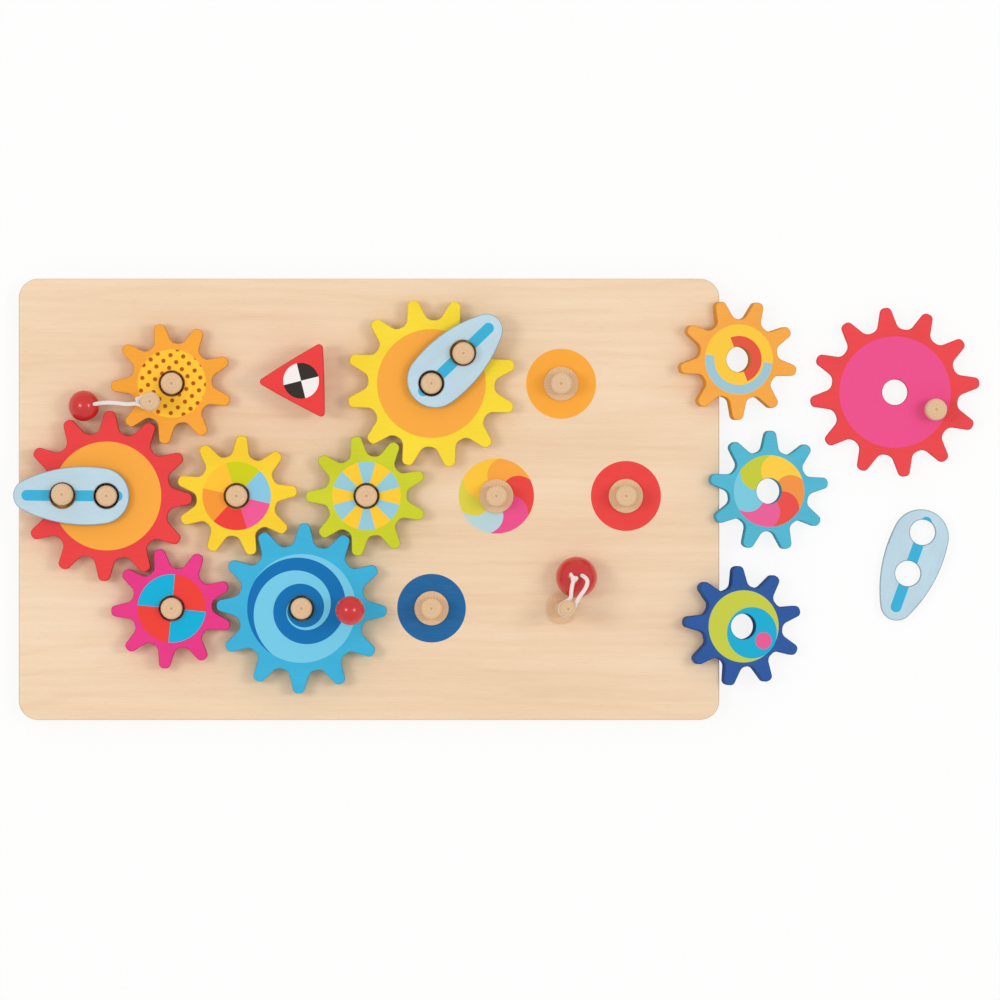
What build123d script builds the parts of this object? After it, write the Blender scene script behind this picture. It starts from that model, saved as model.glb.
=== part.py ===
from build123d import *
import os
from math import atan2, cos, degrees, hypot, pi, radians, sin, sqrt, tan

# A wooden crank gear toy: a board with pegs on a triangular grid, seven gears in mesh on them,
# two pointers, a triangle spinner, two balls on cords, and a spare set lying beside the board.
# Millimetres and degrees. The origin is the centre of the board's underside, +X runs along the
# board's length and +Z is up. Heights named "level" are measured from the board's top face.

# ---- board -------------------------------------------------------------------------------
board_length = 400.0
board_width = 252.0
board_thickness = 10.0
board_corner_radius = 11.0
board_edge_round = 0.8

# ---- pegs and their triangular grid ------------------------------------------------------
peg_spacing = 74.0
grid_shift_x = -1.3
grid_shift_y = 1.9
peg_diameter = 12.2
peg_level = 17.0
peg_tip_round = 2.0
flange_diameter = 19.5
flange_height = 2.5
flange_round = 0.5
tail_diameter = 8.0
tail_depth = 7.0
glue_gap = 0.05

# ---- gears -------------------------------------------------------------------------------
small_teeth = 9
large_teeth = 12
gear_thickness = 8.0
gear_edge_round = 0.6
bore_clearance = 1.2
seat_gap = 0.3
small_addendum = 2.8
small_dedendum = 8.7
small_tooth_width = 6.6
small_taper = 10.8
small_root_round = 4.3
large_addendum = 6.2
large_dedendum = 6.1
large_tooth_width = 8.7
large_taper = 14.9
large_root_round = 5.0
tooth_tip_round = 2.9
first_tooth_angle = -2.0
yellow_play = 2.0
lime_play = -2.0

# ---- drive pegs, crank and pointers ------------------------------------------------------
drive_radius = 25.0
drive_peg_diameter = 12.4
drive_peg_rise = 15.2
drive_peg_round = 3.6
drive_tail_depth = 6.0
crank_radius = 28.0
crank_stick_diameter = 8.0
crank_ball_diameter = 16.7
crank_ball_rise = 19.2
crank_ball_bore_depth = 12.0
pointer_thickness = 6.0
pointer_edge_round = 0.8
pointer_wide_radius = 16.0
pointer_wide_offset = 3.0
pointer_tip_radius = 9.3
pointer_flank_radius = 80.0
pointer_reach = 53.0
red_pointer_play = 1.5
yellow_pointer_play = 1.0
red_drive_direction = 180.0
big_yellow_drive_direction = 45.0
crank_direction = 0.0

# ---- triangle spinner --------------------------------------------------------------------
spinner_reach = 23.2
spinner_corner_radius = 2.1
spinner_side_bulge = 0.4
spinner_thickness = 13.0
spinner_bore_depth = 9.0
spinner_edge_round = 0.7
spinner_collar_height = 9.7
spinner_bore_clearance = 0.6
spinner_corner_angle = 181.5
spinner_shift_y = 1.4

# ---- cord posts and their balls ----------------------------------------------------------
cord_diameter = 2.4
cord_hole_gap = 0.25
cord_hole_length = 9.0
neck_gap = 0.35
neck_length = 4.2
post_head_height = 4.6
whirl_post_direction = -135.0
whirl_post_radius = 15.5
whirl_post_diameter = 10.0
whirl_post_neck_diameter = 4.8
whirl_post_head_diameter = 11.2
whirl_post_neck_rise = 19.4
whirl_ball_diameter = 17.7
swing_post_diameter = 9.0
swing_post_neck_diameter = 4.6
swing_post_head_diameter = 9.8
swing_post_neck_level = 28.4
swing_post_flange_diameter = 17.4
swing_post_lean = 6.0
swing_ball_diameter = 23.6

# Where each ball's middle is, from the middle of its post's neck. Its height comes from the board.
whirl_ball_x = -38.7
whirl_ball_y = -2.2
swing_ball_x = 5.5
swing_ball_y = 17.8

# ---- spare set: distance beyond the board's right edge, place along it, and angle --------
spare_orange_beyond = 11.1
spare_orange_y = 79.8
spare_orange_angle = 29.1
spare_teal_beyond = 28.4
spare_teal_y = 4.7
spare_teal_angle = 8.1
spare_navy_beyond = 13.8
spare_navy_y = -72.5
spare_navy_angle = 15.4
spare_red_beyond = 100.5
spare_red_y = 61.2
spare_red_angle = -23.5
spare_pointer_beyond = 116.4
spare_pointer_y = -18.9
spare_pointer_angle = -109.7
rest_gap = 0.15

# ---- sizes that follow from the ones above -----------------------------------------------
board_top = board_thickness
row_spacing = peg_spacing * sqrt(3) / 2
peg_radius = peg_diameter / 2
bore_radius = peg_radius + bore_clearance
gear_bottom = board_top + flange_height + seat_gap
gear_top = gear_bottom + gear_thickness
pointer_bottom = gear_top + seat_gap
small_pitch_radius = peg_spacing * small_teeth / (small_teeth + large_teeth)
large_pitch_radius = peg_spacing * large_teeth / (small_teeth + large_teeth)
cord_radius = cord_diameter / 2
spare_orange_gear = (spare_orange_beyond, spare_orange_y, spare_orange_angle)
spare_teal_gear = (spare_teal_beyond, spare_teal_y, spare_teal_angle)
spare_navy_gear = (spare_navy_beyond, spare_navy_y, spare_navy_angle)
spare_red_gear = (spare_red_beyond, spare_red_y, spare_red_angle)
spare_pointer = (spare_pointer_beyond, spare_pointer_y, spare_pointer_angle)


def grid_place(row, column, places):
    """Centre of a peg: rows count up from the board's middle row, columns from the left."""
    x = (column - (places - 1) / 2) * peg_spacing + grid_shift_x
    return Vector(x, row * row_spacing + grid_shift_y)


red_place = grid_place(0, 0, 5)
yellow_place = grid_place(0, 1, 5)
lime_place = grid_place(0, 2, 5)
orange_place = grid_place(1, 0, 4)
spinner_place = grid_place(1, 1, 4) + Vector(0, spinner_shift_y)
big_yellow_place = grid_place(1, 2, 4)
magenta_place = grid_place(-1, 0, 4)
blue_place = grid_place(-1, 1, 4)
swing_place = grid_place(-1, 3, 4)

gear_pegs = {
    "peg_of_orange_gear": orange_place,
    "peg_of_red_gear": red_place,
    "peg_of_yellow_gear": yellow_place,
    "peg_of_magenta_gear": magenta_place,
    "peg_of_blue_gear": blue_place,
    "peg_of_lime_gear": lime_place,
    "peg_of_big_yellow_gear": big_yellow_place,
}
bare_pegs = {
    "bare_peg_orange_ring": grid_place(1, 3, 4),
    "bare_peg_swirl_ring": grid_place(0, 3, 5),
    "bare_peg_red_ring": grid_place(0, 4, 5),
    "bare_peg_blue_ring": grid_place(-1, 2, 4),
}


def meshing_angle(place, teeth, angle, next_place, next_teeth):
    """Tooth angle of the next gear that puts one of its gaps where this gear has a tooth."""
    step = next_place - place
    direction = degrees(atan2(step.Y, step.X))
    return direction + 180 + (180 - teeth * (angle - direction)) / next_teeth


red_angle = first_tooth_angle
orange_angle = meshing_angle(red_place, large_teeth, red_angle, orange_place, small_teeth)
yellow_angle = meshing_angle(red_place, large_teeth, red_angle, yellow_place, small_teeth)
magenta_angle = meshing_angle(red_place, large_teeth, red_angle, magenta_place, small_teeth)
blue_angle = meshing_angle(magenta_place, small_teeth, magenta_angle, blue_place, large_teeth)
lime_angle = meshing_angle(blue_place, large_teeth, blue_angle, lime_place, small_teeth)
big_yellow_angle = meshing_angle(lime_place, small_teeth, lime_angle, big_yellow_place, large_teeth)


def nearest_tooth(angle, teeth, wanted):
    """The tooth of a gear that points nearest to the wanted direction."""
    pitch = 360 / teeth
    return angle + pitch * round((wanted - angle) / pitch)


# ---- turned wooden pieces ----------------------------------------------------------------
def rod(diameter, bottom, top):
    """A round rod about Z between two heights."""
    return Pos(0, 0, bottom) * Cylinder(
        diameter / 2, top - bottom, align=(Align.CENTER, Align.CENTER, Align.MIN)
    )


def rounded_top(piece, radius):
    """The piece with the rim of its highest face rounded."""
    return fillet(piece.faces().sort_by(Axis.Z)[-1].edges(), radius)


def flange(diameter):
    """A collar on the board with a softened upper rim."""
    return rounded_top(rod(diameter, 0, flange_height), flange_round)


def axle_peg():
    """A peg that a gear turns on: glued tail, collar and shaft, standing on z = 0."""
    shaft = rounded_top(rod(peg_diameter, 0, peg_level), peg_tip_round)
    return shaft + flange(flange_diameter) + rod(tail_diameter, -tail_depth, 0)


def drive_peg():
    """The peg that turns a pointer: it stands on a gear's top face at z = 0."""
    shaft = rounded_top(rod(drive_peg_diameter, 0, drive_peg_rise), drive_peg_round)
    return shaft + rod(tail_diameter, -drive_tail_depth, 0)


def crank_stick():
    """The stick between the blue gear and its knob, standing on the gear at z = 0."""
    middle = crank_ball_rise - crank_ball_diameter / 2
    top = middle + crank_ball_bore_depth - glue_gap
    return rod(crank_stick_diameter, 0, top) + rod(tail_diameter, -drive_tail_depth, 0)


def crank_ball():
    """The knob of the crank: a ball bored from below for its stick."""
    bore = rod(
        crank_stick_diameter + 2 * glue_gap,
        crank_ball_rise - crank_ball_diameter,
        crank_ball_rise - crank_ball_diameter / 2 + crank_ball_bore_depth,
    )
    return Pos(0, 0, crank_ball_rise) * Sphere(crank_ball_diameter / 2) - bore


def necked_post(diameter, neck_diameter, head_diameter, neck_start):
    """A post with a groove for a cord's loop under a domed head, standing on z = 0."""
    head_start = neck_start + neck_length
    head = rounded_top(
        rod(head_diameter, head_start, head_start + post_head_height), 0.8 * post_head_height
    )
    neck = rod(neck_diameter, neck_start, head_start)
    shaft = fillet(rod(diameter, 0, neck_start).edges().sort_by(Axis.Z)[-1], flange_round)
    return shaft + neck + head


def swing_post():
    """The board's cord post. Its shaft leans a little in its collar, as it does on the toy."""
    shaft = necked_post(
        swing_post_diameter,
        swing_post_neck_diameter,
        swing_post_head_diameter,
        swing_post_neck_level,
    )
    leaning = Rot(0, swing_post_lean, 0) * shaft
    above_board = Pos(0, 0, board_length) * Box(board_length, board_length, 2 * board_length)
    return (
        (leaning & above_board)
        + flange(swing_post_flange_diameter)
        + rod(tail_diameter, -tail_depth, 0)
    )


def spinner_axle():
    """The triangle's axle: a tall collar that carries it and a pin that fits its bore."""
    collar = rounded_top(rod(flange_diameter, 0, spinner_collar_height), flange_round)
    pin = rounded_top(rod(peg_diameter, 0, spinner_collar_height + spinner_bore_depth), flange_round)
    return collar + pin + rod(tail_diameter, -tail_depth, 0)


# ---- board -------------------------------------------------------------------------------
def tail_hole(place):
    """The blind hole in the board that a peg's tail is glued into."""
    hole = rod(tail_diameter + 2 * glue_gap, -tail_depth - glue_gap, 0)
    return Pos(place.X, place.Y, board_top) * hole


def board():
    outline = RectangleRounded(board_length, board_width, board_corner_radius)
    plank = extrude(outline, board_thickness)
    rims = plank.faces().sort_by(Axis.Z)
    plank = fillet(rims[0].edges() + rims[-1].edges(), board_edge_round)
    places = [*gear_pegs.values(), *bare_pegs.values(), spinner_place, swing_place]
    return plank - [tail_hole(place) for place in places]


# ---- gears -------------------------------------------------------------------------------
def gear_outline(teeth, pitch_radius, addendum, dedendum, width, taper, root_round):
    """A round body with tapered, finger-like teeth, one of them along +X."""
    root_radius = pitch_radius - dedendum
    tip_radius = pitch_radius + addendum
    start = root_radius - dedendum / 2

    def half_width(radius):
        return width / 2 - tan(radians(taper)) * (radius - pitch_radius)

    finger = Polygon(
        (start, -half_width(start)),
        (tip_radius, -half_width(tip_radius)),
        (tip_radius, half_width(tip_radius)),
        (start, half_width(start)),
        align=None,
    )
    outline = Circle(root_radius) + [Rot(0, 0, 360 * k / teeth) * finger for k in range(teeth)]
    halfway = (root_radius + tip_radius) / 2
    roots = [v for v in outline.vertices() if hypot(v.X, v.Y) < halfway]
    outline = fillet(roots, root_round)
    tips = [v for v in outline.vertices() if hypot(v.X, v.Y) > tip_radius - 0.1]
    return fillet(tips, tooth_tip_round)


def gear(outline):
    """A gear lying on z = 0 about Z, bored for its peg."""
    blank = extrude(outline - Circle(bore_radius), gear_thickness)
    rims = blank.faces().sort_by(Axis.Z)
    return fillet(rims[0].edges() + rims[-1].edges(), gear_edge_round)


def with_blind_hole(wheel, radius, depth):
    """The gear with a blind hole for a glued tail, on the +X tooth, at a radius."""
    hole = rod(tail_diameter + 2 * glue_gap, gear_thickness - depth - glue_gap, gear_thickness)
    return wheel - Pos(radius, 0, 0) * hole


small_gear = gear(
    gear_outline(
        small_teeth,
        small_pitch_radius,
        small_addendum,
        small_dedendum,
        small_tooth_width,
        small_taper,
        small_root_round,
    )
)
large_gear = gear(
    gear_outline(
        large_teeth,
        large_pitch_radius,
        large_addendum,
        large_dedendum,
        large_tooth_width,
        large_taper,
        large_root_round,
    )
)


# ---- pointer and triangle ----------------------------------------------------------------
def pointer_outline():
    """An egg: a wide end, a narrow end and two bulging flanks, all in tangent arcs."""
    wide = Vector(pointer_wide_offset, 0)
    tip = Vector(pointer_reach - pointer_tip_radius, 0)
    span = tip.X - wide.X
    to_wide = pointer_flank_radius - pointer_wide_radius
    to_tip = pointer_flank_radius - pointer_tip_radius
    along = (to_wide**2 - to_tip**2 + span**2) / (2 * span)
    flank = Vector(wide.X + along, -sqrt(to_wide**2 - along**2))
    first = wide + (wide - flank).normalized() * pointer_wide_radius
    second = tip + (tip - flank).normalized() * pointer_tip_radius
    upper = ThreePointArc(first, flank + Vector(0, pointer_flank_radius), second)
    nose = ThreePointArc(second, (pointer_reach, 0), (second.X, -second.Y))
    lower = mirror(upper, about=Plane.XZ)
    heel = ThreePointArc((first.X, -first.Y), (wide.X - pointer_wide_radius, 0), first)
    return make_face([upper, nose, lower, heel])


def pointer():
    """A pointer lying on z = 0, its centre hole about Z and its tail along +X."""
    holes = Circle(bore_radius) + Pos(drive_radius, 0) * Circle(bore_radius)
    plate = extrude(pointer_outline() - holes, pointer_thickness)
    rims = plate.faces().sort_by(Axis.Z)
    return fillet(rims[0].edges() + rims[-1].edges(), pointer_edge_round)


def spinner():
    """A triangle with softly bulging sides and round corners, bored from below for its axle."""
    apex = spinner_reach + spinner_corner_radius
    corners = [Vector(apex, 0).rotate(Axis.Z, 120 * k) for k in range(3)]
    sides = []
    for k in range(3):
        start, end = corners[k], corners[(k + 1) % 3]
        middle = (start + end) / 2
        sides.append(ThreePointArc(start, middle + middle.normalized() * spinner_side_bulge, end))
    outline = make_face(sides)
    block = extrude(fillet(outline.vertices(), spinner_corner_radius), spinner_thickness)
    rims = block.faces().sort_by(Axis.Z)
    block = fillet(rims[0].edges() + rims[-1].edges(), spinner_edge_round)
    bore = rod(peg_diameter + 2 * spinner_bore_clearance, 0, spinner_bore_depth)
    return block - bore


# ---- cords and their balls ---------------------------------------------------------------
def round_neck(neck, neck_diameter, angles):
    """Corners of a cord's loop round a post's neck, at the given directions."""
    reach = (neck_diameter / 2 + neck_gap + cord_radius) / cos(radians(30)) + 0.1
    return [neck + Vector(reach, 0, 0).rotate(Axis.Z, angle) for angle in angles]


def corner_radii(points):
    """A bend radius for each corner, as large as 0.45 of its shorter run allows."""
    radii = []
    for before, corner, after in zip(points, points[1:], points[2:]):
        turn = radians((corner - before).get_angle(after - corner))
        shorter = min((corner - before).length, (after - corner).length)
        radii.append(0.45 * shorter / tan(turn / 2))
    return radii


def cord(name, points):
    """A limp cord's tube along straight runs joined by tangent arcs."""
    radii = corner_radii(points)
    path = FilletPolyline(*points, radius=radii)
    tube = sweep(Plane(path @ 0, z_dir=path % 0) * Circle(cord_radius), path)
    wanted = pi * cord_radius**2 * path.length
    print(name, "bend radii", [round(radius, 1) for radius in radii])
    print(name, "length", round(path.length, 1), "volume ratio", round(tube.volume / wanted, 4))
    return tube


def cord_hole(end, towards):
    """The hole that a cord's end is glued into, from the end outwards."""
    outwards = (towards - end).normalized()
    start = end - outwards * cord_hole_gap
    return extrude(Plane(start, z_dir=outwards) * Circle(cord_radius + cord_hole_gap), cord_hole_length)


def ball_middle(diameter, neck, x, y):
    """The middle of a ball that lies on the board, at a place seen from its post's neck."""
    return Vector(neck.X + x, neck.Y + y, board_top + seat_gap + diameter / 2)


def ball(diameter, middle):
    """A ball whose poles are turned away from its cord holes."""
    return Pos(*middle) * Rot(90, 0, 0) * Sphere(diameter / 2)


# ---- placing -----------------------------------------------------------------------------
def on_board(piece, place):
    """The piece standing on the board."""
    return Pos(place.X, place.Y, board_top) * piece


def on_axle(piece, place, angle, height):
    """The piece on a peg, turned to an angle."""
    return Pos(place.X, place.Y, height) * Rot(0, 0, angle) * piece


def off_centre(piece, place, angle, radius):
    """The piece standing on a gear, at a radius from its centre in a direction."""
    spot = place + Vector(radius, 0).rotate(Axis.Z, angle)
    return Pos(spot.X, spot.Y, gear_top) * Rot(0, 0, angle) * piece


def leaning_on_edge(spare):
    """A spare small gear that lies half on the table and leans on the board's right edge."""
    offset, y, angle = spare
    wheel = Rot(0, 0, angle) * small_gear
    reach = wheel.bounding_box().max.X
    flattest, steepest = 0.0, 45.0
    for _ in range(40):
        tilt = radians((flattest + steepest) / 2)
        middle = offset - gear_thickness * sin(tilt)
        height = rest_gap + reach * sin(tilt)
        if height + middle * tan(tilt) < board_top + rest_gap:
            flattest = degrees(tilt)
        else:
            steepest = degrees(tilt)
    print("a spare gear leans", round(degrees(tilt), 3), "at", round(middle, 3), round(height, 3))
    return Pos(board_length / 2 + middle, y, height) * Rot(0, degrees(tilt), 0) * wheel


def on_table(piece, spare, height=0.0):
    """A spare piece lying flat beside the board."""
    offset, y, angle = spare
    return Pos(board_length / 2 + offset, y, height) * Rot(0, 0, angle) * piece


# ---- the board and what is glued into it -------------------------------------------------
parts = {"board": board()}
for name, place in {**gear_pegs, **bare_pegs}.items():
    parts[name] = on_board(axle_peg(), place)
parts["spinner_axle"] = on_board(spinner_axle(), spinner_place)
parts["swing_post"] = on_board(swing_post(), swing_place)

# ---- the gear train ----------------------------------------------------------------------
red_drive_angle = nearest_tooth(red_angle, large_teeth, red_drive_direction)
big_yellow_drive_angle = nearest_tooth(
    big_yellow_angle, large_teeth, big_yellow_drive_direction
)
crank_angle = nearest_tooth(blue_angle, large_teeth, crank_direction)
whirl_post_angle = nearest_tooth(orange_angle, small_teeth, whirl_post_direction)

post_gear = with_blind_hole(small_gear, whirl_post_radius, drive_tail_depth)
drive_gear = with_blind_hole(large_gear, drive_radius, drive_tail_depth)
crank_gear = with_blind_hole(large_gear, crank_radius, drive_tail_depth)
parts["orange_gear"] = on_axle(post_gear, orange_place, whirl_post_angle, gear_bottom)
parts["red_gear"] = on_axle(drive_gear, red_place, red_drive_angle, gear_bottom)
parts["yellow_gear"] = on_axle(
    small_gear, yellow_place, yellow_angle + yellow_play, gear_bottom
)
parts["magenta_gear"] = on_axle(small_gear, magenta_place, magenta_angle, gear_bottom)
parts["blue_gear"] = on_axle(crank_gear, blue_place, crank_angle, gear_bottom)
parts["lime_gear"] = on_axle(small_gear, lime_place, lime_angle + lime_play, gear_bottom)
parts["big_yellow_gear"] = on_axle(
    drive_gear, big_yellow_place, big_yellow_drive_angle, gear_bottom
)

# ---- drive pegs, crank and pointers ------------------------------------------------------
parts["red_gear_drive_peg"] = off_centre(drive_peg(), red_place, red_drive_angle, drive_radius)
parts["big_yellow_gear_drive_peg"] = off_centre(
    drive_peg(), big_yellow_place, big_yellow_drive_angle, drive_radius
)
parts["crank_stick"] = off_centre(crank_stick(), blue_place, crank_angle, crank_radius)
parts["crank_ball"] = off_centre(crank_ball(), blue_place, crank_angle, crank_radius)
parts["red_gear_pointer"] = on_axle(
    pointer(), red_place, red_drive_angle + red_pointer_play, pointer_bottom
)
parts["big_yellow_gear_pointer"] = on_axle(
    pointer(), big_yellow_place, big_yellow_drive_angle + yellow_pointer_play, pointer_bottom
)

# ---- triangle spinner --------------------------------------------------------------------
spinner_bottom = board_top + spinner_collar_height + seat_gap
parts["triangle_spinner"] = on_axle(
    spinner(), spinner_place, spinner_corner_angle, spinner_bottom
)

# ---- whirling ball: its cord is looped round the neck of the post on the orange gear -----
whirl_post = necked_post(
    whirl_post_diameter,
    whirl_post_neck_diameter,
    whirl_post_head_diameter,
    whirl_post_neck_rise,
) + rod(tail_diameter, -drive_tail_depth, 0)
parts["whirl_post"] = off_centre(
    whirl_post, orange_place, whirl_post_angle, whirl_post_radius
)
whirl_neck = orange_place + Vector(whirl_post_radius, 0).rotate(Axis.Z, whirl_post_angle)
whirl_neck.Z = gear_top + whirl_post_neck_rise + neck_length / 2
whirl_middle = ball_middle(whirl_ball_diameter, whirl_neck, whirl_ball_x, whirl_ball_y)
whirl_route = [
    whirl_middle + Vector(3.4, 0.5, 3.35),
    whirl_middle + Vector(10.1, 1.7, 10.05),
    whirl_neck + Vector(-20.8, -0.5, -8.8),
    whirl_neck + Vector(-13.0, -1.6, -4.6),
    whirl_neck + Vector(-6.9, -0.9, -0.8),
    *round_neck(whirl_neck, whirl_post_neck_diameter, (245, 305, 5, 65, 118)),
]
parts["whirl_cord"] = cord("whirl_cord", whirl_route)
parts["whirl_ball"] = ball(whirl_ball_diameter, whirl_middle) - cord_hole(
    whirl_route[0], whirl_route[1]
)

# ---- swinging ball: its cord runs from the ball, round the post's neck and back ----------
lean = radians(swing_post_lean)
neck_middle = swing_post_neck_level + neck_length / 2
swing_neck = swing_place + Vector(neck_middle * sin(lean), 0, neck_middle * cos(lean))
swing_neck.Z += board_top
swing_middle = ball_middle(swing_ball_diameter, swing_neck, swing_ball_x, swing_ball_y)
swing_route = [
    swing_middle + Vector(-0.8, 0.0, 7.85),
    swing_middle + Vector(-1.1, -0.2, 15.55),
    swing_neck + Vector(3.0, 14.0, 0.3),
    swing_neck + Vector(2.3, 9.4, 0.7),
    swing_neck + Vector(2.1, 5.2, 0.1),
    *round_neck(swing_neck, swing_post_neck_diameter, (140, 200, 260, 320, 20)),
    swing_neck + Vector(6.7, 6.6, 0.3),
    swing_neck + Vector(10.7, 11.6, 0.6),
    swing_neck + Vector(12.0, 16.3, 0.1),
    swing_middle + Vector(3.1, 1.4, 16.15),
    swing_middle + Vector(2.6, 1.0, 7.75),
]
parts["swing_cord"] = cord("swing_cord", swing_route)
parts["swing_ball"] = (
    ball(swing_ball_diameter, swing_middle)
    - cord_hole(swing_route[0], swing_route[1])
    - cord_hole(swing_route[-1], swing_route[-2])
)

# ---- spare set beside the board ----------------------------------------------------------
parts["spare_orange_gear"] = leaning_on_edge(spare_orange_gear)
parts["spare_teal_gear"] = leaning_on_edge(spare_teal_gear)
parts["spare_navy_gear"] = leaning_on_edge(spare_navy_gear)
parts["spare_red_gear"] = on_table(drive_gear, spare_red_gear)
parts["spare_drive_peg"] = on_table(
    Pos(drive_radius, 0, 0) * drive_peg(), spare_red_gear, gear_thickness
)
parts["spare_pointer"] = on_table(pointer(), spare_pointer)

os.makedirs("parts", exist_ok=True)
for name, piece in parts.items():
    piece.label = name
    export_step(piece, f"parts/{name}.step")
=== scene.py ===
from math import cos, radians, sin, sqrt, tau

import bpy
from mathutils import Euler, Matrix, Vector


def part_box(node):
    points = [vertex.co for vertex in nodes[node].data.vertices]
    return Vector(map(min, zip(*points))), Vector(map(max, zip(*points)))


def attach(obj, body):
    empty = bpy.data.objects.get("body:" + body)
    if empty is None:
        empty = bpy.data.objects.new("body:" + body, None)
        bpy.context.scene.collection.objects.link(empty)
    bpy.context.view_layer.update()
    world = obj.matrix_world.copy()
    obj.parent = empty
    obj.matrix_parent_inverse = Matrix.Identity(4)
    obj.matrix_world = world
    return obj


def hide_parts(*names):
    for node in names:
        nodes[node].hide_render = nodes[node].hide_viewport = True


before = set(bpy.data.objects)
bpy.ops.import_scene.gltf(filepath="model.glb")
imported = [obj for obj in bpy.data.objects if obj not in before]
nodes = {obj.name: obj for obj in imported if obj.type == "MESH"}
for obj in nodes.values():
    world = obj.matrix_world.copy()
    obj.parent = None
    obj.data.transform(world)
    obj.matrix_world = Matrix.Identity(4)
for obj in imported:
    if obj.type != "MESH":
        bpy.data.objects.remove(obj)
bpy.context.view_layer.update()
scene = bpy.context.scene
scene.view_settings.view_transform = "Standard"

# ---- the view ------------------------------------------------------------------------------
# The toy lies flat on a white table and is seen from straight above, from so far away that the
# sides of its pieces hardly show. The view is as wide as the board and the spare set beside it.
view_width = 0.5711
view_centre = (0.0748, -0.0004)
view_distance = 5.0
board_top = 0.010

eye = bpy.data.objects.new("eye", bpy.data.cameras.new("eye"))
eye.data.sensor_width = 36.0
eye.data.lens = 36.0 * view_distance / view_width
eye.data.clip_end = 50.0
eye.location = (*view_centre, board_top + view_distance)
scene.collection.objects.link(eye)
scene.camera = eye


# ---- cords ---------------------------------------------------------------------------------
# Two limp cotton cords, laid from six strands that are twisted together. Each is looped round
# the groove of its post. One carries the small ball at its end, and the other goes from the big
# ball round the post and back. Small knots stop them where they close.
class Wire:
    """A value in a material or a node group. A sum with it adds the nodes for that sum."""

    def __init__(self, finish, socket):
        self.finish, self.socket = finish, socket

    def math(self, operation, *others, clamp=False):
        settings = {"operation": operation, "use_clamp": clamp}
        return self.finish.node("ShaderNodeMath", settings, self, *others)

    def __add__(self, other):
        return self.math("ADD", other)

    def __sub__(self, other):
        return self.math("SUBTRACT", other)

    def __rsub__(self, other):
        return self.finish.node("ShaderNodeMath", {"operation": "SUBTRACT"}, other, self)

    def __mul__(self, other):
        return self.math("MULTIPLY", other)

    def __truediv__(self, other):
        return self.math("DIVIDE", other)

    def __abs__(self):
        return self.math("ABSOLUTE")

    __radd__ = __add__
    __rmul__ = __mul__


class Nodes:
    """A node tree that is built call by call."""

    def __init__(self, tree):
        self.tree = tree

    def feed(self, socket, value):
        if isinstance(value, Wire):
            self.tree.links.new(value.socket, socket)
        else:
            socket.default_value = value

    def node(self, kind, settings=None, *values, output=0, **named):
        """A new node with its settings and what goes into its sockets, by order or by name."""
        made = self.tree.nodes.new(kind)
        for key, value in (settings or {}).items():
            setattr(made, key, value)
        for key, value in [*enumerate(values), *named.items()]:
            self.feed(made.inputs[key], value)
        return Wire(self, made.outputs[output])


class Finish(Nodes):
    """A surface finish: one material on one shader."""

    def __init__(self, name):
        self.material = bpy.data.materials.new(name)
        self.material.use_nodes = True
        super().__init__(self.material.node_tree)
        self.shader = self.tree.nodes["Principled BSDF"]

    def shade(self, values):
        for name, value in values.items():
            self.feed(self.shader.inputs[name], value)
        return self

    def place(self, centre=(0.0, 0.0, 0.0), turn=(0.0, 0.0, 0.0)):
        """Places on the piece in millimetres, from a centre and in a turned frame."""
        here = self.node("ShaderNodeTexCoord", output=3)
        settings = {"vector_type": "TEXTURE"}
        return self.node("ShaderNodeMapping", settings, here, centre, turn, (0.001,) * 3)

    def split(self, vector):
        parted = self.node("ShaderNodeSeparateXYZ", None, vector).socket.node
        return [Wire(self, output) for output in parted.outputs]

    def stretch(self, vector, share):
        return self.node("ShaderNodeVectorMath", {"operation": "MULTIPLY"}, vector, share)

    def noise(self, vector, share, detail=2.0, seed=0.0):
        """Soft noise from 0 to 1, with its own pace along each direction, per millimetre."""
        moved = self.node(
            "ShaderNodeVectorMath",
            {"operation": "ADD"},
            self.stretch(vector, share),
            (seed, 1.7 * seed, 2.3 * seed),
        )
        return self.node("ShaderNodeTexNoise", None, moved, Scale=1.0, Detail=detail)

    def mix(self, share, below, above):
        made = self.tree.nodes.new("ShaderNodeMix")
        made.data_type = "RGBA"
        for key, value in ((0, share), (6, below), (7, above)):
            self.feed(made.inputs[key], value)
        return Wire(self, made.outputs[2])

    def ramp(self, value, stops, kind="LINEAR"):
        made = self.tree.nodes.new("ShaderNodeValToRGB")
        band = made.color_ramp
        band.interpolation = kind
        band.elements.remove(band.elements[1])
        for count, (position, colour) in enumerate(stops):
            stop = band.elements.new(position) if count else band.elements[0]
            stop.position, stop.color = position, colour
        self.feed(made.inputs[0], value)
        return Wire(self, made.outputs[0])

    def bump(self, height, depth, strength=1.0):
        """Relief on the surface, its depth in millimetres."""
        made = self.node("ShaderNodeBump", None, Height=height, Distance=0.001 * depth)
        made.socket.node.inputs["Strength"].default_value = strength
        return self.shade({"Normal": made})


def colour(red, green, blue):
    """A colour as on a paint chart, from 0 to 255, turned into amounts of light."""
    return (*(((c / 255 + 0.055) / 1.055) ** 2.4 for c in (red, green, blue)), 1.0)


def dress(piece, finish):
    piece.data.materials.clear()
    piece.data.materials.append(finish.material)


cord_diameter = 0.0024
strand_count = 6
strand_radius = 0.00043
twist_pitch = 0.0085
ring_spacing = 0.00025
thin_cord = 0.0019
whirl_loop_reach = 4.661
swing_loop_reach = 4.546

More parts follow.
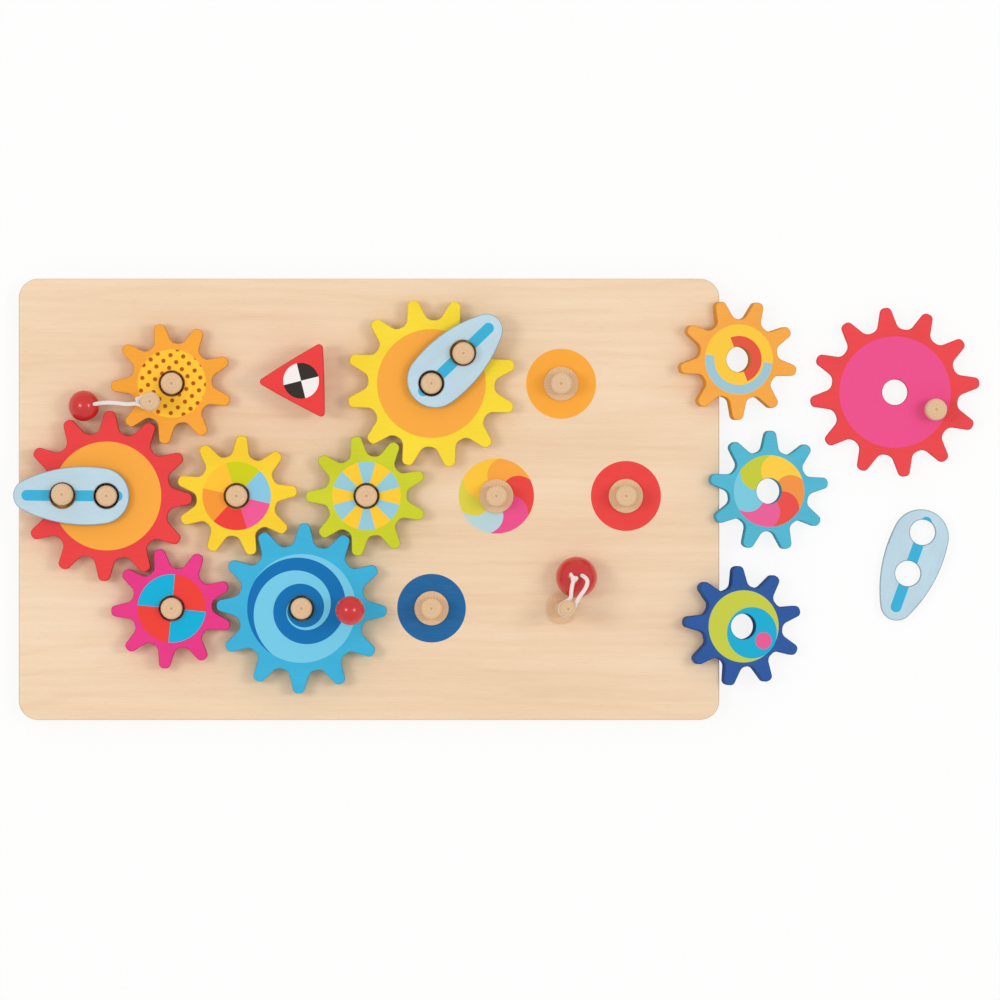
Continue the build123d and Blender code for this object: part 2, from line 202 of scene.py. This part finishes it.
cotton = Finish("cotton")
here = cotton.place()
fuzz = cotton.noise(here, (5.0, 5.0, 5.0), 4.0)
cotton.shade(
    {
        "Base Color": cotton.mix(fuzz, colour(232, 214, 210), colour(252, 246, 244)),
        "Roughness": 0.9,
        "Sheen Weight": 0.3,
    }
).bump(fuzz, 0.12, 0.6)


def twisted_cord():
    """Node group: strands twisted round a line, each a tube along its own helix."""
    group = bpy.data.node_groups.new("twisted_cord", "GeometryNodeTree")
    faces = group.interface
    faces.new_socket("Line", in_out="INPUT", socket_type="NodeSocketGeometry")
    faces.new_socket("Strands", in_out="INPUT", socket_type="NodeSocketInt")
    for name in ("Strand radius", "Offset", "Pitch", "Spacing"):
        faces.new_socket(name, in_out="INPUT", socket_type="NodeSocketFloat")
    faces.new_socket("Cord", in_out="OUTPUT", socket_type="NodeSocketGeometry")
    make = Nodes(group)
    given = group.nodes.new("NodeGroupInput")
    line, strands, radius, offset, pitch, spacing = (
        Wire(make, socket) for socket in list(given.outputs)[:6]
    )
    curve = make.node("GeometryNodeMeshToCurve", None, line)
    even = make.node(
        "GeometryNodeResampleCurve", {"mode": "LENGTH"}, curve, Length=spacing
    )
    copies = make.node(
        "GeometryNodeDuplicateElements", {"domain": "SPLINE"}, even, Amount=strands
    )
    index = Wire(make, copies.socket.node.outputs["Duplicate Index"])
    along = make.node("GeometryNodeSplineParameter", output=1)
    angle = (index / strands + along / pitch) * tau
    outwards = make.node(
        "ShaderNodeVectorRotate",
        {"rotation_type": "AXIS_ANGLE"},
        make.node("GeometryNodeInputNormal"),
        Axis=make.node("GeometryNodeInputTangent"),
        Angle=angle,
    )
    shift = make.node("ShaderNodeVectorMath", {"operation": "SCALE"}, outwards, Scale=offset)
    helix = make.node("GeometryNodeSetPosition", None, copies, Offset=shift)
    ring = make.node("GeometryNodeCurvePrimitiveCircle", None, Resolution=8, Radius=radius)
    tube = make.node("GeometryNodeCurveToMesh", None, helix, ring)
    tube.socket.node.inputs["Fill Caps"].default_value = True
    smooth = make.node("GeometryNodeSetShadeSmooth", None, tube)
    real = make.node("GeometryNodeRealizeInstances", None, smooth)
    done = make.node("GeometryNodeSetMaterial", None, real, Material=cotton.material)
    result = group.nodes.new("NodeGroupOutput")
    group.links.new(done.socket, result.inputs[0])
    return group


cord_maker = twisted_cord()


def route_line(name, points):
    """The smooth line of a cord: its route's points are a NURBS spline's control points."""
    curve = bpy.data.curves.new(name, "CURVE")
    curve.dimensions = "3D"
    curve.resolution_u = 24
    spline = curve.splines.new("NURBS")
    spline.points.add(len(points) - 1)
    for control, point in zip(spline.points, points):
        control.co = (*point, 1.0)
    spline.order_u = 3
    spline.use_endpoint_u = True
    holder = bpy.data.objects.new(name, curve)
    scene.collection.objects.link(holder)
    line = bpy.data.meshes.new_from_object(holder)
    bpy.data.objects.remove(holder)
    return line


def lay_cord(name, points, thickness=cord_diameter):
    """A twisted cord along a route, as a plain mesh, and the line that it follows."""
    line = route_line(name + "_route", points)
    path = [vertex.co.copy() for vertex in line.vertices]
    holder = bpy.data.objects.new(name + "_line", line)
    scene.collection.objects.link(holder)
    maker = holder.modifiers.new("twist", "NODES")
    maker.node_group = cord_maker
    share = thickness / cord_diameter
    sizes = {
        "Strands": strand_count,
        "Strand radius": strand_radius * share,
        "Offset": (cord_diameter / 2 - strand_radius) * share,
        "Pitch": twist_pitch * share,
        "Spacing": ring_spacing,
    }
    for item in cord_maker.interface.items_tree:
        if item.name in sizes:
            maker[item.identifier] = sizes[item.name]
    bpy.context.view_layer.update()
    ready = holder.evaluated_get(bpy.context.evaluated_depsgraph_get())
    piece = bpy.data.objects.new(name, bpy.data.meshes.new_from_object(ready))
    scene.collection.objects.link(piece)
    bpy.data.objects.remove(holder)
    return piece, path


def knot(name, centre, size, turn):
    """A small overhand knot, pulled tight: a trefoil that goes over and under itself."""
    steps, overlap = 24, 3
    points = []
    for step in range(steps):
        a = tau * step / steps
        spot = Vector((sin(a) + 2 * sin(2 * a), cos(a) - 2 * cos(2 * a), -1.3 * sin(3 * a)))
        spot.rotate(Euler(turn))
        points.append(Vector(centre) + spot * size / 3)
    return lay_cord(name, points + points[:overlap], thin_cord)[0]


def mm(*values):
    return Vector(values) / 1000


def round_neck(neck, reach, angles):
    """A cord's loop in the groove of its post, as corners at the given directions."""
    return [neck + mm(reach * cos(radians(a)), reach * sin(radians(a)), 0) for a in angles]


whirl_neck = mm(-123.697, 55.481, 42.3)
whirl_ball_middle = mm(-162.397, 53.281, 19.15)
whirl_route = [
    whirl_ball_middle + mm(3.4, 0.5, 3.35),
    whirl_ball_middle + mm(10.1, 1.7, 10.05),
    whirl_neck + mm(-20.8, -0.5, -8.8),
    whirl_neck + mm(-13.0, -1.6, -4.6),
    whirl_neck + mm(-6.9, -0.9, -0.8),
    *round_neck(whirl_neck, whirl_loop_reach, (245, 305, 5, 65, 118)),
    whirl_neck + mm(-5.2, 2.1, -0.1),
]
swing_neck = mm(112.888, -62.186, 40.333)
swing_ball_middle = mm(118.388, -44.386, 22.1)
swing_route = [
    swing_ball_middle + mm(-0.8, 0.0, 7.85),
    swing_ball_middle + mm(-1.1, -0.2, 15.55),
    swing_neck + mm(3.0, 14.0, 0.3),
    swing_neck + mm(2.3, 9.4, 0.7),
    swing_neck + mm(2.1, 5.2, 0.1),
    *round_neck(swing_neck, swing_loop_reach, (140, 200, 260, 320, 20)),
    swing_neck + mm(6.7, 6.6, 0.3),
    swing_neck + mm(10.7, 11.6, 0.6),
    swing_neck + mm(12.0, 16.3, 0.1),
    swing_ball_middle + mm(3.1, 1.4, 16.15),
    swing_ball_middle + mm(2.6, 1.0, 7.75),
]

whirl_cord, whirl_path = lay_cord("whirl_cord_laid", whirl_route)
whirl_knot = knot("whirl_cord_knot", whirl_neck + mm(-6.0, 0.9, -0.5), 0.0017, (0.4, 0.2, 0.3))
swing_cord, swing_path = lay_cord("swing_cord_laid", swing_route)
swing_knot = knot(
    "swing_cord_knot", swing_neck + mm(4.1, 16.9, -1.6), 0.0016, (1.2, 0.3, 0.2)
)
swing_tail, _ = lay_cord(
    "swing_cord_tail",
    [
        swing_neck + mm(4.2, 16.6, -1.2),
        swing_neck + mm(3.4, 17.8, -0.6),
        swing_neck + mm(2.6, 19.0, -0.9),
        swing_neck + mm(2.0, 19.9, -1.8),
    ],
    thin_cord,
)
for piece in (whirl_cord, whirl_knot):
    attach(piece, "whirl_ball")
for piece in (swing_cord, swing_knot, swing_tail):
    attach(piece, "swing_ball")
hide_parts("whirl_cord")
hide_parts("swing_cord")

# ---- table and light -----------------------------------------------------------------------
# A white table top under two soft lamps, one high on the left and one high on the right, in a
# white room. The table glows white for the camera only, and the toy's soft shadow stays on it.
table_reach = 4.0
table_level = -0.0005
table_glow = 0.86
lamp_reach = 0.95
lamp_height = 1.5
lamp_forward = 0.12
lamp_width, lamp_length = 0.42, 0.5
lamp_power = 5.6
room_light = 0.72

table_top = bpy.data.objects.new("table_top", bpy.data.meshes.new("table_top"))
corners = [
    (x * table_reach, y * table_reach, table_level)
    for x, y in ((-1, -1), (1, -1), (1, 1), (-1, 1))
]
table_top.data.from_pydata(corners, [], [(0, 1, 2, 3)])
scene.collection.objects.link(table_top)

white = Finish("white_table")
white.shade({"Base Color": colour(246, 246, 246), "Roughness": 0.7})
path = white.tree.nodes.new("ShaderNodeLightPath")
glow = white.node("ShaderNodeEmission", None, (1.0, 1.0, 1.0, 1.0), 1.0)
both = white.node(
    "ShaderNodeMixShader",
    None,
    Wire(white, path.outputs["Is Camera Ray"]) * table_glow,
    Wire(white, white.shader.outputs[0]),
    glow,
)
white.tree.links.new(both.socket, white.tree.nodes["Material Output"].inputs[0])
dress(table_top, white)

room = bpy.data.worlds.new("white_room")
scene.world = room
room.use_nodes = True
air = Nodes(room.node_tree)
seen = room.node_tree.nodes.new("ShaderNodeLightPath")
direct = Wire(air, seen.outputs["Is Camera Ray"])
lit = air.node("ShaderNodeBackground", None, (1.0, 0.995, 0.985, 1.0), room_light)
shown = air.node("ShaderNodeBackground", None, (1.0, 1.0, 1.0, 1.0), 1.0)
sky = air.node("ShaderNodeMixShader", None, direct, lit, shown)
room.node_tree.links.new(sky.socket, room.node_tree.nodes["World Output"].inputs[0])

for side, name in ((-1, "left_lamp"), (1, "right_lamp")):
    light = bpy.data.lights.new(name, "AREA")
    light.shape, light.size, light.size_y = "RECTANGLE", lamp_width, lamp_length
    light.energy = lamp_power
    light.color = (1.0, 0.985, 0.96)
    lamp = bpy.data.objects.new(name, light)
    lamp.location = (view_centre[0] + side * lamp_reach, lamp_forward, lamp_height)
    aim = Vector((*view_centre, 0.0)) - lamp.location
    lamp.rotation_euler = aim.to_track_quat("-Z", "Y").to_euler()
    scene.collection.objects.link(lamp)

# ---- board ---------------------------------------------------------------------------------
# Birch plywood, seven plies in 10 mm, cut with round corners, sanded and lacquered. The face
# grain runs along the board. Flat coloured rings are printed round the four bare pegs.
peg_spacing = 0.074
row_spacing = peg_spacing * sqrt(3) / 2
grid_shift = (-0.0013, 0.0019)
board_thickness = 10.0
ply = board_thickness / 7
print_depth = 0.3
ring_radius = {"orange": 20.0, "swirl": 21.5, "red": 20.0, "blue": 19.6}


def grid_place(row, column, places):
    """The foot of a peg: rows count up from the middle one, columns from the left."""
    x = (column - (places - 1) / 2) * peg_spacing + grid_shift[0]
    return (x, row * row_spacing + grid_shift[1], board_top)


def polar(x, y):
    """How far a place is from the middle, and its direction in turns."""
    far = (x * x + y * y).math("SQRT")
    return far, y.math("ARCTAN2", x) * (1 / tau)


def within(distance, soft=0.12):
    """1 where a signed distance in millimetres is below 0, with a crisp printed edge."""
    return distance.math("MULTIPLY_ADD", -1 / soft, 0.5, clamp=True)


def wheel(finish, turns, start, sectors):
    """Sectors of colour, anticlockwise from a direction in degrees. Each has its width."""
    stops, at = [], 0.0
    for width, paint in sectors:
        stops.append((at / 360, paint))
        at += width
    return finish.ramp((turns - start / 360).math("FRACT"), stops, "CONSTANT")


def swirl(finish, far, turns, edge, twist, start, sectors):
    """Sectors whose edges are straight near the middle and sweep back towards the rim."""
    share = (far - 7.0) / (edge - 7.0)
    bent = turns - (1 - share * share) * (twist / 360)
    return wheel(finish, bent, start, sectors)


birch = Finish("lacquered_birch")
here = birch.place()
x, y, z = birch.split(here)
broad = birch.noise(here, (0.0042, 0.034, 0.02), 3.0)
streak = birch.noise(here, (0.011, 0.27, 0.2), 4.0, 3.1)
fibre = birch.noise(here, (0.09, 2.3, 1.6), 3.0, 5.3)
fleck = birch.noise(here, (0.24, 1.5, 1.2), 2.0, 8.7)
wander = birch.noise(here, (0.0045, 0.014, 0.0), 2.0, 12.4)
ring_line = ((y * 0.06 + wander * 3.0) * tau).math("SINE")
line_share = (ring_line * 0.5 + 0.5).math("POWER", 12.0)
tone = (
    0.45
    + (broad - 0.5) * 0.8
    + (streak - 0.5) * 0.42
    + (fibre - 0.5) * 0.4
    + line_share * 0.08
)
face = birch.ramp(
    tone,
    [
        (0.0, colour(248, 226, 200)),
        (0.42, colour(241, 213, 181)),
        (0.62, colour(236, 205, 171)),
        (1.0, colour(221, 186, 149)),
    ],
)
dark_fleck = (fleck - 0.66).math("MULTIPLY_ADD", 9.0, 0.0, clamp=True)
face = birch.mix(dark_fleck * 0.35, face, colour(205, 166, 126))

print_level = within((board_thickness - print_depth) - z)
for name, place, paint in (
    ("orange", grid_place(1, 3, 4), colour(251, 170, 50)),
    ("red", grid_place(0, 4, 5), colour(236, 62, 60)),
    ("blue", grid_place(-1, 2, 4), colour(2, 98, 158)),
    ("swirl", grid_place(0, 3, 5), None),
):
    far, turns = polar(x - place[0] * 1000, y - place[1] * 1000)
    if paint is None:
        paint = swirl(
            birch,
            far,
            turns,
            ring_radius[name],
            33,
            -99.6,
            [
                (66.2, colour(237, 76, 140)),
                (58.0, colour(235, 62, 56)),
                (60.9, colour(250, 168, 56)),
                (66.4, colour(254, 202, 52)),
                (51.5, colour(222, 210, 62)),
                (57.0, colour(184, 214, 222)),
            ],
        )
    ink = birch.mix((fibre - 0.5) * 0.12, paint, face)
    face = birch.mix(within(far - ring_radius[name]) * print_level, face, ink)

normal = birch.split(birch.node("ShaderNodeNewGeometry", output=1))
layer = z / ply
odd = ((layer.math("FLOOR") * 0.5).math("FRACT")) * 2
across = abs(normal[0]).math("MULTIPLY_ADD", 2.2, -1.05, clamp=True)
end_grain = abs(odd - across)
pores = birch.noise(here, (2.6, 2.6, 2.6), 3.0, 21.0)
runs = birch.noise(here, (0.05, 0.05, 3.4), 3.0, 25.0)
long_ply = birch.ramp(runs, [(0.3, colour(232, 203, 166)), (0.75, colour(212, 175, 133))])
end_ply = birch.ramp(pores, [(0.3, colour(198, 156, 112)), (0.75, colour(160, 118, 78))])
sawn = birch.mix(end_grain, long_ply, end_ply)
seam = (layer.math("FRACT") - 0.5).math("ABSOLUTE").math("GREATER_THAN", 0.455)
sawn = birch.mix(seam * 0.55, sawn, colour(128, 88, 56))
side = 1 - abs(normal[2]).math("GREATER_THAN", 0.75)
birch.shade(
    {
        "Base Color": birch.mix(side, face, sawn),
        "Roughness": 0.42 + (fibre - 0.5) * 0.2 + side * 0.2,
        "Specular IOR Level": 0.3,
    }
).bump(fibre * 0.6 + streak * 0.4 + pores * side, 0.06, 0.5)
dress(nodes["board"], birch)


# ---- turned pegs and posts -----------------------------------------------------------------
# Beech, turned on a lathe and left bare: collared axle pegs for the gears, the drive pegs that
# turn the pointers, the crank's stick, and the two posts with a groove for their cord. The
# grain stands upright in each, so its end shows on top, with the lathe's small centre mark.
def beech(name, foot, lean=0.0, warmth=0.5):
    """Bare beech, with its grain upright through a foot, which is in metres."""
    finish = Finish(name)
    here = finish.place(foot, (0.0, lean, 0.0))
    x, y, z = finish.split(here)
    far, _ = polar(x, y)
    bend = finish.noise(here, (0.16, 0.16, 0.012), 2.0, 40 * warmth)
    growth = ((x + 9.0) * (x + 9.0) + (y - 7.0) * (y - 7.0)).math("SQRT") * 0.62
    rings = (((growth + bend * 2.4) * tau).math("SINE")) * 0.5 + 0.5
    grain = finish.noise(here, (3.4, 3.4, 0.16), 3.0, 17 * warmth)
    rays = finish.noise(here, (7.0, 2.2, 0.5), 2.0, 23 * warmth)
    light = 0.56 + (rings - 0.5) * 0.17 + (grain - 0.5) * 0.9 + (rays - 0.5) * 0.5
    wood = finish.ramp(
        light,
        [
            (0.0, colour(200, 156, 114)),
            (0.35, colour(219, 179, 138)),
            (0.62, colour(229, 195, 156)),
            (1.0, colour(240, 213, 180)),
        ],
    )
    up = finish.split(finish.node("ShaderNodeNewGeometry", output=1))[2]
    on_end = up.math("GREATER_THAN", 0.85)
    wood = finish.mix(on_end * 0.22, wood, colour(212, 168, 126))
    mark = within(far - 0.75, 0.5) * on_end
    circle = within(abs(far - 2.6) - 0.15, 0.5) * on_end
    wood = finish.mix(mark * 0.5 + circle * 0.18, wood, colour(150, 104, 70))
    lathe = (z * (tau / 0.7)).math("SINE")
    finish.shade(
        {
            "Base Color": wood,
            "Roughness": 0.5 + (grain - 0.5) * 0.25,
            "Specular IOR Level": 0.35,
        }
    )
    return finish.bump(grain * 0.8 + lathe * 0.12 + rays * 0.3, 0.09, 0.5)


peg_feet = {
    "peg_of_orange_gear": grid_place(1, 0, 4),
    "peg_of_red_gear": grid_place(0, 0, 5),
    "peg_of_yellow_gear": grid_place(0, 1, 5),
    "peg_of_magenta_gear": grid_place(-1, 0, 4),
    "peg_of_blue_gear": grid_place(-1, 1, 4),
    "peg_of_lime_gear": grid_place(0, 2, 5),
    "peg_of_big_yellow_gear": grid_place(1, 2, 4),
    "bare_peg_orange_ring": grid_place(1, 3, 4),
    "bare_peg_swirl_ring": grid_place(0, 3, 5),
    "bare_peg_red_ring": grid_place(0, 4, 5),
    "bare_peg_blue_ring": grid_place(-1, 2, 4),
}
for name in (
    "spinner_axle",
    "red_gear_drive_peg",
    "big_yellow_gear_drive_peg",
    "spare_drive_peg",
    "crank_stick",
    "whirl_post",
):
    low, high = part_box(name)
    peg_feet[name] = ((low.x + high.x) / 2, (low.y + high.y) / 2, low.z)
for count, (name, foot) in enumerate(peg_feet.items()):
    dress(nodes[name], beech(name + "_beech", foot, warmth=0.1 + 0.37 * count % 1.0))
swing_foot = grid_place(-1, 3, 4)
swing_lean = radians(6.0)
dress(nodes["swing_post"], beech("swing_post_beech", swing_foot, swing_lean, 0.8))


# ---- gears ---------------------------------------------------------------------------------
# Eight millimetre plywood, sawn out with rounded finger teeth, bored for the pegs and painted
# all over in one satin colour, with painted shade darkening the side walls. The pattern in the
# middle of the top face is printed on it.
gear_bottom = 0.0128
gear_thickness = 8.0
small_print = 19.5
large_print = 31.0


def painted(
    name,
    centre,
    paint,
    print_on,
    tilt=0.0,
    thick=gear_thickness,
    seed=1.0,
    turn=0.0,
    painted_shade_level=0.6,
):
    """Satin paint on plywood. print_on gives layers of (mask, colour) for the top face."""
    finish = Finish(name)
    here = finish.place(centre, (0.0, tilt, turn))
    x, y, z = finish.split(here)
    shade = finish.noise(here, (0.035, 0.05, 0.05), 3.0, seed)
    grain = finish.noise(here, (0.1, 1.3, 0.8), 3.0, seed + 4.0)
    spots = finish.noise(here, (1.6, 1.6, 1.6), 3.0, seed + 9.0)
    red, green, blue, _ = paint
    deep = (red * 0.86, green * 0.83, blue * 0.84, 1.0)
    pale = tuple(min(1.0, c * 1.05 + 0.006) for c in paint[:3]) + (1.0,)
    tone = 0.55 + (shade - 0.5) * 0.9 + (grain - 0.5) * 0.55
    coat = finish.mix(tone.math("MINIMUM", 1.0), deep, pale)
    on_top = within((thick - 0.6) - z)
    for mask, ink in print_on(finish, x, y):
        coat = finish.mix(mask * on_top, coat, ink)
    # Painted shade: the paint is darkened on the side walls, where the surface turns away from
    # the top.
    up = abs(finish.split(finish.node("ShaderNodeNewGeometry", output=1))[2])
    wall = within(up - 0.88, 0.22)
    painted_shade_colour = (*(c * painted_shade_level for c in paint[:3]), 1.0)
    coat = finish.mix(wall * 0.6, coat, painted_shade_colour)
    rim = within(abs(up - 0.72) - 0.12, 0.1)
    worn = (spots - 0.62).math("MULTIPLY_ADD", 8.0, 0.0, clamp=True) * rim
    coat = finish.mix(worn * 0.2, coat, colour(226, 190, 150))
    finish.shade(
        {
            "Base Color": coat,
            "Roughness": 0.45 + (spots - 0.5) * 0.16 + wall * 0.15,
            "Specular IOR Level": 0.16,
        }
    )
    return finish.bump(grain * 0.7 + spots * 0.3 + spots * wall, 0.08, 0.45)


def disc(radius, ink, middle=(0.0, 0.0)):
    """A round print in one colour."""

    def layers(finish, x, y):
        far, _ = polar(x - middle[0], y - middle[1])
        return [(within(far - radius), ink)]

    return layers


def dots(finish, x, y):
    """Dots in straight rows on a disc, the rows turned out of line with the board."""
    spacing, radius, slant = 5.16, 1.22, radians(39)
    far, _ = polar(x, y)
    rows = (x * cos(slant) + y * sin(slant)) / spacing - 0.37
    files = (y * cos(slant) - x * sin(slant)) / spacing - 0.02
    across, along = rows.math("FRACT") - 0.5, files.math("FRACT") - 0.5
    from_dot, _ = polar(across * spacing, along * spacing)
    plate = within(far - small_print)
    return [
        (plate, colour(254, 199, 54)),
        (plate * within(from_dot - radius, 0.3), colour(178, 84, 22)),
    ]


def six_sectors(finish, x, y):
    """Six equal sectors, each in its own colour."""
    far, turns = polar(x, y)
    ink = wheel(
        finish,
        turns,
        -13,
        [
            (60, colour(136, 200, 228)),
            (60, colour(208, 208, 16)),
            (60, colour(254, 196, 50)),
            (60, colour(247, 152, 52)),
            (60, colour(237, 64, 56)),
            (60, colour(240, 90, 150)),
        ],
    )
    return [(within(far - small_print), ink)]


def quarters(finish, x, y):
    """Four quarters in two colours."""
    far, turns = polar(x, y)
    warm, cool = colour(238, 64, 54), colour(0, 176, 218)
    ink = wheel(finish, turns, -5.6, [(90, warm), (90, cool), (90, warm), (90, cool)])
    return [(within(far - small_print), ink)]


def rays(finish, x, y):
    """Twelve rays in two colours by turns."""
    far, turns = polar(x, y)
    ink = wheel(
        finish,
        turns * 6,
        -90,
        [(180, colour(252, 204, 52)), (180, colour(150, 203, 218))],
    )
    return [(within(far - small_print), ink)]


def spiral(finish, x, y):
    """A dark band that winds inwards over a light disc and narrows towards the peg."""
    far, turns = polar(x, y)
    round_once = turns.math("FRACT")

    def outer_edge(turn):
        swell = ((turn - 0.5) * (turn - 0.5) * (-1 / 0.44**2)).math("EXPONENT")
        return turn * 12.1 + 13.95 - swell * 4.0

    def inner_edge(turn):
        return turn * 18.6 + turn * turn * 5.2 + 16.4

    plate = within(far - large_print)
    layers = [(plate, colour(116, 203, 233))]
    for lap in (-1, 0, 1):
        start, end = inner_edge(round_once + (lap - 1)), outer_edge(round_once + lap)
        layers.append((plate * within(start - far) * within(far - end), colour(0, 112, 180)))
    return layers


gear_paints = {
    "orange_gear": (colour(251, 168, 52), dots),
    "red_gear": (colour(238, 64, 66), disc(large_print, colour(250, 170, 64))),
    "yellow_gear": (colour(255, 212, 46), six_sectors),
    "magenta_gear": (colour(234, 54, 136), quarters),
    "blue_gear": (colour(58, 180, 222), spiral),
    "lime_gear": (colour(206, 212, 38), rays),
    "big_yellow_gear": (colour(255, 222, 52), disc(large_print, colour(250, 170, 64))),
}
for count, (name, (paint, print_on)) in enumerate(gear_paints.items()):
    x, y, _ = peg_feet["peg_of_" + name]
    finish = painted(name + "_paint", (x, y, gear_bottom), paint, print_on, seed=3.0 * count)
    dress(nodes[name], finish)

# ---- pointers ------------------------------------------------------------------------------
# Egg-shaped six millimetre plates with two holes, painted pale blue, with strong painted shade
# on their edges. A blue stripe with round ends runs through both holes. One lies on each gear
# that has a drive peg.
pointer_bottom = 0.0211
pointer_thickness = 6.0
stripe_half_width = 3.1
stripe_start, stripe_end = -6.2, 45.2


def stripe(finish, x, y):
    """A line with round ends along the pointer."""
    along = x.math("MAXIMUM", stripe_start).math("MINIMUM", stripe_end)
    from_line, _ = polar(x - along, y)
    return [(within(from_line - stripe_half_width), colour(56, 176, 216))]


pale_blue = colour(190, 218, 232)
pointer_spots = {
    "red_gear_pointer": (*peg_feet["peg_of_red_gear"][:2], pointer_bottom, 179.5),
    "big_yellow_gear_pointer": (*peg_feet["peg_of_big_yellow_gear"][:2], pointer_bottom, 44.0),
    "spare_pointer": (0.3164, -0.0189, 0.0, -109.7),
}
for count, (name, (x, y, level, angle)) in enumerate(pointer_spots.items()):
    finish = painted(
        name + "_paint",
        (x, y, level),
        pale_blue,
        stripe,
        thick=pointer_thickness,
        seed=30.0 + count,
        turn=radians(angle),
        # strong painted shade on the pointer's side walls
        painted_shade_level=0.32,
    )
    dress(nodes[name], finish)

# ---- triangle spinner ----------------------------------------------------------------------
# A thick wooden triangle with bulging sides, painted red, that turns on its own high axle. A
# disc in black and white quarters is printed over the axle.
target_radius = 10.15
spinner_bottom = 0.020
spinner_thickness = 13.0


def target(finish, x, y):
    far, turns = polar(x, y)
    black, white = colour(50, 42, 38), colour(244, 238, 236)
    ink = wheel(finish, turns, 14, [(90, black), (90, white), (90, black), (90, white)])
    return [(within(far - target_radius), ink)]


x, y = peg_feet["spinner_axle"][:2]
triangle = painted(
    "triangle_paint",
    (x, y, spinner_bottom),
    colour(238, 62, 62),
    target,
    thick=spinner_thickness,
    seed=41.0,
)
dress(nodes["triangle_spinner"], triangle)

# ---- balls and the crank's knob ------------------------------------------------------------
# Turned beech balls, dipped in red gloss lacquer. One is glued on the crank's stick as its knob,
# and the other two are bored and hang on their cords.
gloss = Finish("red_gloss")
here = gloss.place()
flow = gloss.noise(here, (0.09, 0.09, 0.09), 2.0)
peel = gloss.noise(here, (0.9, 0.9, 0.9), 2.0, 6.0)
gloss.shade(
    {
        "Base Color": gloss.mix(flow, colour(194, 26, 30), colour(216, 40, 38)),
        "Roughness": 0.34,
        "Coat Weight": 0.8,
        "Coat Roughness": 0.12,
        "Specular IOR Level": 0.25,
    }
).bump(peel, 0.05, 0.35)
for name in ("crank_ball", "whirl_ball", "swing_ball"):
    dress(nodes[name], gloss)


# ---- spare set -----------------------------------------------------------------------------
# More gears and a pointer that fit the bare pegs, lying loose. Three small gears lean on the
# board's right edge, and the big red one with its drive peg lies flat on the table.
def arc(finish, far, turns, low, high, start, width):
    """A part of a ring: its radii, and the direction where it starts and its width in degrees."""
    swept = (turns - start / 360).math("FRACT")
    return within(abs(far - (low + high) / 2) - (high - low) / 2) * within(
        (swept - width / 360) * 60
    )


def two_arcs(finish, x, y):
    far, turns = polar(x, y)
    return [
        (within(far - 20.0), colour(252, 202, 58)),
        (arc(finish, far, turns, 14.6, 19.9, 172, 182), colour(152, 199, 216)),
        (arc(finish, far, turns, 0.0, 13.4, -68, 180), colour(228, 78, 58)),
    ]


def bright_swirl(finish, x, y):
    far, turns = polar(x, y)
    edge = 20.5
    ink = swirl(
        finish,
        far,
        turns,
        edge,
        30,
        -84.6,
        [
            (52.6, colour(232, 74, 66)),
            (49.0, colour(240, 146, 64)),
            (68.8, colour(252, 204, 62)),
            (58.2, colour(196, 202, 50)),
            (66.4, colour(120, 200, 222)),
            (65.0, colour(232, 92, 150)),
        ],
    )
    return [(within(far - edge), ink)]


def moon(finish, x, y):
    return [
        *disc(20.6, colour(200, 206, 62))(finish, x, y),
        *disc(14.7, colour(4, 174, 212), (4.9, -3.7))(finish, x, y),
        *disc(4.8, colour(232, 90, 148), (11.7, -8.2))(finish, x, y),
    ]


red_gear_print = disc(31.8, colour(236, 78, 140))
spare_gears = {
    "spare_orange_gear": ((209.262, 79.8, 7.964), 13.281, colour(252, 172, 66), two_arcs),
    "spare_teal_gear": ((227.104, 4.7, 5.7), 9.325, colour(78, 184, 212), bright_swirl),
    "spare_navy_gear": ((212.054, -72.5, 7.455), 12.604, colour(32, 86, 160), moon),
    "spare_red_gear": ((300.5, 61.2, 0.0), 0.0, colour(236, 70, 74), red_gear_print),
}
for count, (name, (centre, tilt, paint, print_on)) in enumerate(spare_gears.items()):
    finish = painted(
        name + "_paint", mm(*centre), paint, print_on, tilt=radians(tilt), seed=50.0 + 3 * count
    )
    dress(nodes[name], finish)
